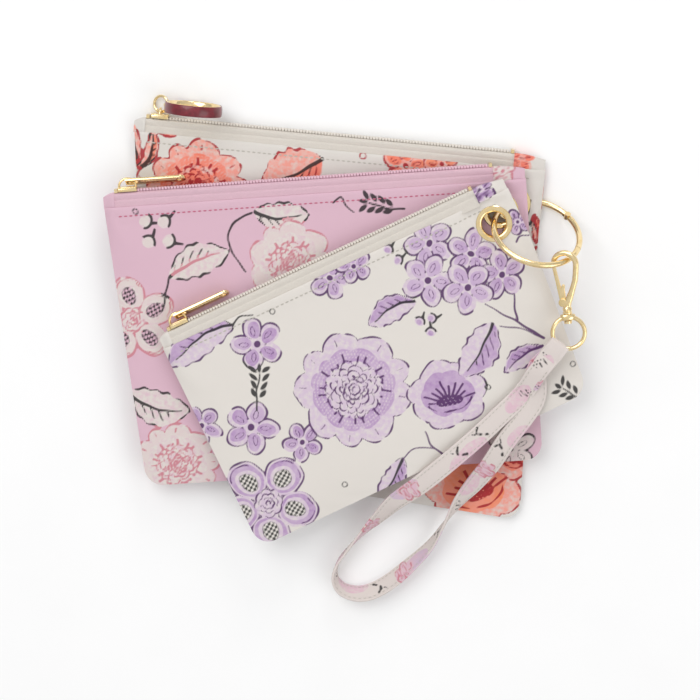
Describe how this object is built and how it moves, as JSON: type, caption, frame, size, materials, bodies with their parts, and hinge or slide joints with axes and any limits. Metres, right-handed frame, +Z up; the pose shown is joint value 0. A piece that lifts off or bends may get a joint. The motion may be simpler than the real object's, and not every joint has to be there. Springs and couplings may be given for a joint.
{
  "type": "wristlet wallet",
  "caption": "Three flat zip pouches in graded sizes, fanned on one gold carrier ring through their corner grommets, with a snap hook and a folded fabric wrist strap.",
  "frame": {"origin": "centre of the large pouch's flat back, on the surface it lies on", "axes": "+X along the large pouch zip towards the carrier ring, +Y towards the zip edge, +Z up out of the front panels"},
  "size_m": [0.2436, 0.245, 0.0372],
  "materials": {
    "panel_large": "printed cotton twill, matte",
    "panel_medium": "printed cotton twill, matte",
    "panel_small": "printed cotton twill, matte",
    "lining": "plain woven lining",
    "zip_ivory": "woven zip tape and nylon coil",
    "zip_pink": "woven zip tape and nylon coil",
    "hardware": "polished pale gold plating",
    "enamel": "glossy burgundy enamel",
    "strap_fabric": "printed cotton twill, folded and stitched"
  },
  "bodies": {
    "large_pouch": {"large_front_panel": "panel_large", "large_back_panel": "panel_large", "large_lining": "lining", "large_zip_tape_front": "zip_ivory", "large_zip_tape_back": "zip_ivory", "large_zip_coil": "zip_ivory", "large_zip_stops": "hardware", "large_end_tabs": "panel_large", "large_grommet": "hardware", "large_grommet_washer": "hardware"},
    "large_slider": {"large_slider": "hardware"},
    "large_link": {"large_pull_link": "hardware"},
    "large_ring_pull": {"large_ring_pull": "hardware", "large_ring_sleeve": "enamel"},
    "medium_pouch": {"medium_front_panel": "panel_medium", "medium_back_panel": "panel_medium", "medium_lining": "lining", "medium_zip_tape_front": "zip_pink", "medium_zip_tape_back": "zip_pink", "medium_zip_coil": "zip_pink", "medium_zip_stops": "hardware", "medium_end_tabs": "panel_medium", "medium_grommet": "hardware", "medium_grommet_washer": "hardware"},
    "medium_slider": {"medium_slider": "hardware"},
    "medium_tab": {"medium_pull_tab": "hardware"},
    "small_pouch": {"small_front_panel": "panel_small", "small_back_panel": "panel_small", "small_lining": "lining", "small_zip_tape_front": "zip_ivory", "small_zip_tape_back": "zip_ivory", "small_zip_coil": "zip_ivory", "small_zip_stops": "hardware", "small_end_tabs": "panel_small", "small_grommet": "hardware", "small_grommet_washer": "hardware"},
    "small_slider": {"small_slider": "hardware"},
    "small_tab": {"small_pull_tab": "hardware"},
    "carrier_ring": {"carrier_ring": "hardware", "ring_gate_pin": "hardware"},
    "ring_gate": {"ring_gate": "hardware"},
    "hook": {"hook_body": "hardware", "hook_gate_pin": "hardware", "swivel_pin": "hardware"},
    "hook_gate": {"hook_gate": "hardware"},
    "eye": {"swivel_eye": "hardware"},
    "strap": {"strap": "strap_fabric", "strap_tack": "strap_fabric"}
  },
  "joints": [
    {"name": "large_zip", "type": "slide", "parent": "large_pouch", "child": "large_slider", "axis": [1, 0, 0], "range_m": [0, 0.1678]},
    {"name": "medium_fan", "type": "hinge", "parent": "large_pouch", "child": "medium_pouch", "pos_m": [0.08153, 0.05992, 0.0115], "axis": [0, 0, 1], "range_deg": [-9.5, 42]},
    {"name": "medium_zip", "type": "slide", "parent": "medium_pouch", "child": "medium_slider", "axis": [0.9863, 0.165, 0], "range_m": [0, 0.1718]},
    {"name": "small_fan", "type": "hinge", "parent": "large_pouch", "child": "small_pouch", "pos_m": [0.07865, 0.05417, 0.0193], "axis": [0, 0, 1], "range_deg": [-30.5, 24]},
    {"name": "small_zip", "type": "slide", "parent": "small_pouch", "child": "small_slider", "axis": [0.8599, 0.5105, 0], "range_m": [0, 0.1508]},
    {"name": "large_link_swing", "type": "hinge", "parent": "large_slider", "child": "large_link", "pos_m": [-0.0893, 0.0915, 0.0037], "axis": [-0.866, 0, -0.5], "range_deg": [-40, 0]},
    {"name": "ring_pull_lift", "type": "hinge", "parent": "large_link", "child": "large_ring_pull", "pos_m": [-0.08592, 0.0954, 0.00565], "axis": [0, -1, 0], "range_deg": [0, 60]},
    {"name": "medium_tab_flip", "type": "hinge", "parent": "medium_slider", "child": "medium_tab", "pos_m": [-0.10199, 0.05507, 0.0115], "axis": [0, 0, 1], "range_deg": [0, 180]},
    {"name": "small_tab_flip", "type": "hinge", "parent": "small_slider", "child": "small_tab", "pos_m": [-0.07161, -0.00772, 0.0193], "axis": [0, 0, 1], "range_deg": [0, 180]},
    {"name": "ring_turn", "type": "hinge", "parent": "large_pouch", "child": "carrier_ring", "pos_m": [0.09999, 0.05161, 0.01874], "axis": [0.1097, 0.7803, 0.6157], "range_deg": [-15, 0]},
    {"name": "ring_gate_open", "type": "hinge", "parent": "carrier_ring", "child": "ring_gate", "pos_m": [0.11509, 0.05973, 0.00576], "axis": [0.1097, 0.7803, 0.6157], "range_deg": [0, 24], "stiffness_Nm_per_rad": 0.01, "springref_deg": -17.19},
    {"name": "hook_swing", "type": "hinge", "parent": "carrier_ring", "child": "hook", "pos_m": [0.11403, 0.04036, 0.03051], "axis": [-0.7495, -0.3419, 0.5668], "range_deg": [0, 80]},
    {"name": "hook_gate_open", "type": "hinge", "parent": "hook", "child": "hook_gate", "pos_m": [0.11577, 0.02009, 0.02923], "axis": [0.3321, 0.0879, -0.9391], "range_deg": [0, 14], "stiffness_Nm_per_rad": 0.01, "springref_deg": -22.92},
    {"name": "swivel", "type": "hinge", "parent": "hook", "child": "eye", "pos_m": [0.11426, 0.03898, 0.03046], "axis": [-0.1681, 0.9852, 0.0328], "range_deg": [0, 45]},
    {"name": "strap_swing", "type": "hinge", "parent": "eye", "child": "strap", "pos_m": [0.11577, -0.00129, 0.02915], "axis": [-0.8451, 0.5342, 0.0218], "range_deg": [0, 75], "deforming": ["strap", "strap_tack"]}
  ]
}
